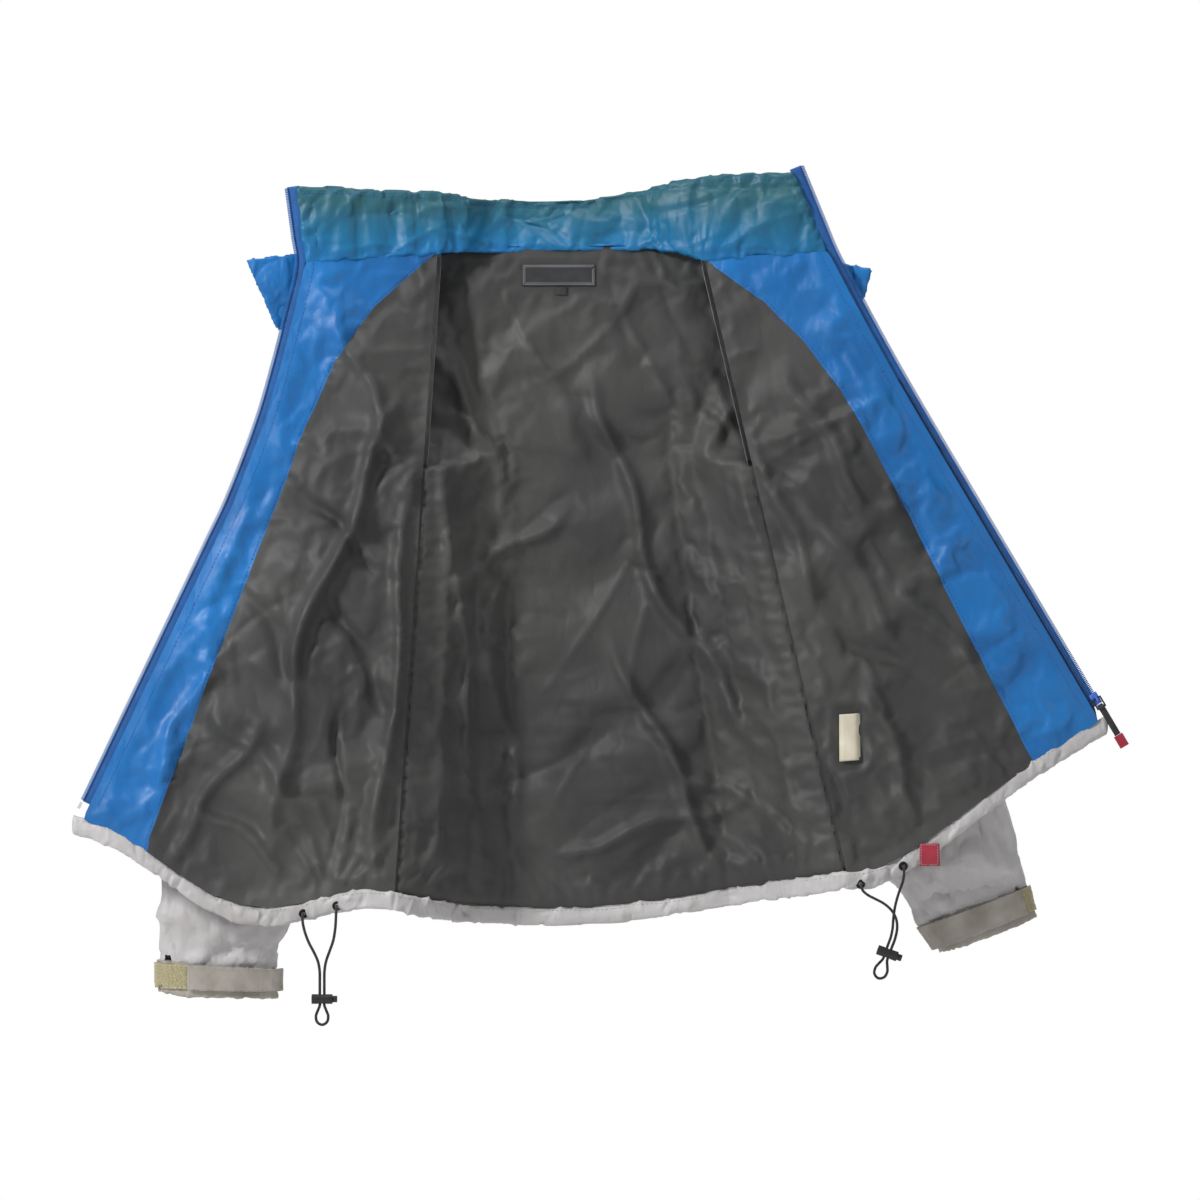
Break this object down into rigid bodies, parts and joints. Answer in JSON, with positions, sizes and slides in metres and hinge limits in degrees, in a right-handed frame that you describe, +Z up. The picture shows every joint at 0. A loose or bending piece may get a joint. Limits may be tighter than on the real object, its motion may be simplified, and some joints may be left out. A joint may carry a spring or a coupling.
{
  "type": "ski jacket",
  "caption": "Padded ski jacket hanging unzipped with both fronts spread, tall collar, drop-down hood, hem drawcords, front zip and tabbed cuffs.",
  "frame": {"origin": "centre of the back neck, on the inner face, where the jacket hangs", "axes": "+X across the spread jacket to the side with the zip slider, +Y from the open front to the back, +Z up"},
  "size_m": [1.1329, 0.1621, 0.9235],
  "materials": {
    "shell_grey": "light grey coated nylon shell, soft sheen, puckered seams",
    "shell_blue": "bright blue coated nylon, glossy and creased",
    "collar_teal": "teal coated nylon fading to blue, glossy, crinkled",
    "lining_grey": "dark grey taffeta lining with fine creases",
    "padding": "white polyester wadding",
    "zip_tape": "woven zip tape",
    "zip_teeth": "moulded nylon coil",
    "zip_metal": "painted die-cast slider, semi gloss",
    "clear_pin": "clear moulded insertion pin",
    "black_trim": "black moulded plastic",
    "black_cloth": "black woven tape and elastic cord",
    "red_trim": "red woven tab",
    "ivory_label": "ivory satin label",
    "cuff_taupe": "taupe coated nylon, worn",
    "loop_khaki": "khaki hook-and-loop pile"
  },
  "bodies": {
    "root": {"back_lining": "lining_grey", "back_insulation": "padding", "back_yoke": "shell_blue", "back_shell": "shell_grey", "collar_back": "collar_teal", "hem_back": "shell_grey", "neck_label": "black_cloth", "size_tab": "black_cloth", "shoulder_left": "shell_blue", "shoulder_right": "shell_blue"},
    "hood": {"hood_lining": "lining_grey", "hood_shell": "shell_blue"},
    "front_left": {"front_lining_left": "lining_grey", "facing_left": "shell_blue", "front_insulation_left": "padding", "front_shell_left": "shell_grey", "collar_left": "collar_teal", "hem_left": "shell_grey", "zip_tape_left": "zip_tape", "zip_teeth_left": "zip_teeth", "hood_flap_left": "shell_blue", "drawcord_left": "black_cloth", "eyelet_left_1": "black_trim", "eyelet_left_2": "black_trim", "zip_pin": "clear_pin"},
    "front_right": {"front_lining_right": "lining_grey", "facing_right": "shell_blue", "front_insulation_right": "padding", "front_shell_right": "shell_grey", "collar_right": "collar_teal", "hem_right": "shell_grey", "zip_tape_right": "zip_tape", "zip_teeth_right": "zip_teeth", "hood_flap_right": "shell_blue", "drawcord_right": "black_cloth", "eyelet_right_1": "black_trim", "eyelet_right_2": "black_trim", "zip_box": "zip_metal", "care_label": "ivory_label", "hem_tab": "red_trim"},
    "slider": {"zip_slider": "zip_metal"},
    "pull": {"zip_pull": "black_trim"},
    "puller": {"puller_tape": "black_cloth", "puller_tip": "red_trim"},
    "sleeve_left": {"sleeve_upper_left": "shell_grey", "sleeve_lower_left": "shell_grey", "cuff_left": "cuff_taupe", "loop_patch_left": "loop_khaki"},
    "tab_left": {"cuff_tab_left": "cuff_taupe"},
    "lock_left": {"cord_lock_left": "black_trim"},
    "button_left": {"lock_button_left": "black_trim"},
    "sleeve_right": {"sleeve_upper_right": "shell_grey", "sleeve_lower_right": "shell_grey", "cuff_right": "cuff_taupe", "loop_patch_right": "loop_khaki"},
    "tab_right": {"cuff_tab_right": "cuff_taupe"},
    "lock_right": {"cord_lock_right": "black_trim"},
    "button_right": {"lock_button_right": "black_trim"}
  },
  "joints": [
    {"name": "front_left_swing", "type": "hinge", "parent": "root", "child": "front_left", "pos_m": [-0.133, -0.03, 0.032], "axis": [0.0628, 0.0847, 0.9944], "range_deg": [0, 120]},
    {"name": "front_right_swing", "type": "hinge", "parent": "root", "child": "front_right", "pos_m": [0.157, -0.03, 0.025], "axis": [0.2212, -0.0867, -0.9714], "range_deg": [0, 120]},
    {"name": "hood_lift", "type": "hinge", "parent": "root", "child": "hood", "pos_m": [0.012, 0.0255, 0.031], "axis": [1, 0, 0], "range_deg": [0, 110]},
    {"name": "sleeve_left_swing", "type": "hinge", "parent": "root", "child": "sleeve_left", "pos_m": [-0.235, 0.011, -0.02], "axis": [0, 1, 0], "range_deg": [0, 50]},
    {"name": "sleeve_right_swing", "type": "hinge", "parent": "root", "child": "sleeve_right", "pos_m": [0.268, 0.011, -0.016], "axis": [0, -1, 0], "range_deg": [0, 50]},
    {"name": "cuff_tab_left_open", "type": "hinge", "parent": "sleeve_left", "child": "tab_left", "pos_m": [-0.3038, 0.0084, -0.752], "axis": [0, 0, 1], "range_deg": [0, 100]},
    {"name": "cuff_tab_right_open", "type": "hinge", "parent": "sleeve_right", "child": "tab_right", "pos_m": [0.3975, 0.0084, -0.708], "axis": [0.5735, 0, -0.8192], "range_deg": [0, 100]},
    {"name": "zip_slide", "type": "slide", "parent": "front_right", "child": "slider", "axis": [-0.5079, 0.0259, 0.861], "range_m": [0, 0.335]},
    {"name": "pull_flip", "type": "hinge", "parent": "slider", "child": "pull", "pos_m": [0.57611, -0.06052, -0.44568], "axis": [-0.8613, 0, -0.5081], "range_deg": [0, 150]},
    {"name": "puller_swing", "type": "hinge", "parent": "pull", "child": "puller", "pos_m": [0.58179, -0.06081, -0.45533], "axis": [-0.8613, 0, -0.5081], "range_deg": [0, 30]},
    {"name": "lock_left_slide", "type": "slide", "parent": "front_left", "child": "lock_left", "axis": [0, 0, 1], "range_m": [0, 0.02]},
    {"name": "lock_right_slide", "type": "slide", "parent": "front_right", "child": "lock_right", "axis": [0.3429, 0, 0.9394], "range_m": [0, 0.009]},
    {"name": "button_left_press", "type": "slide", "parent": "lock_left", "child": "button_left", "axis": [-1, 0, 0], "range_m": [0, 0.0035], "stiffness_N_per_m": 400},
    {"name": "button_right_press", "type": "slide", "parent": "lock_right", "child": "button_right", "axis": [-0.9394, 0, 0.3429], "range_m": [0, 0.0035], "stiffness_N_per_m": 400}
  ]
}
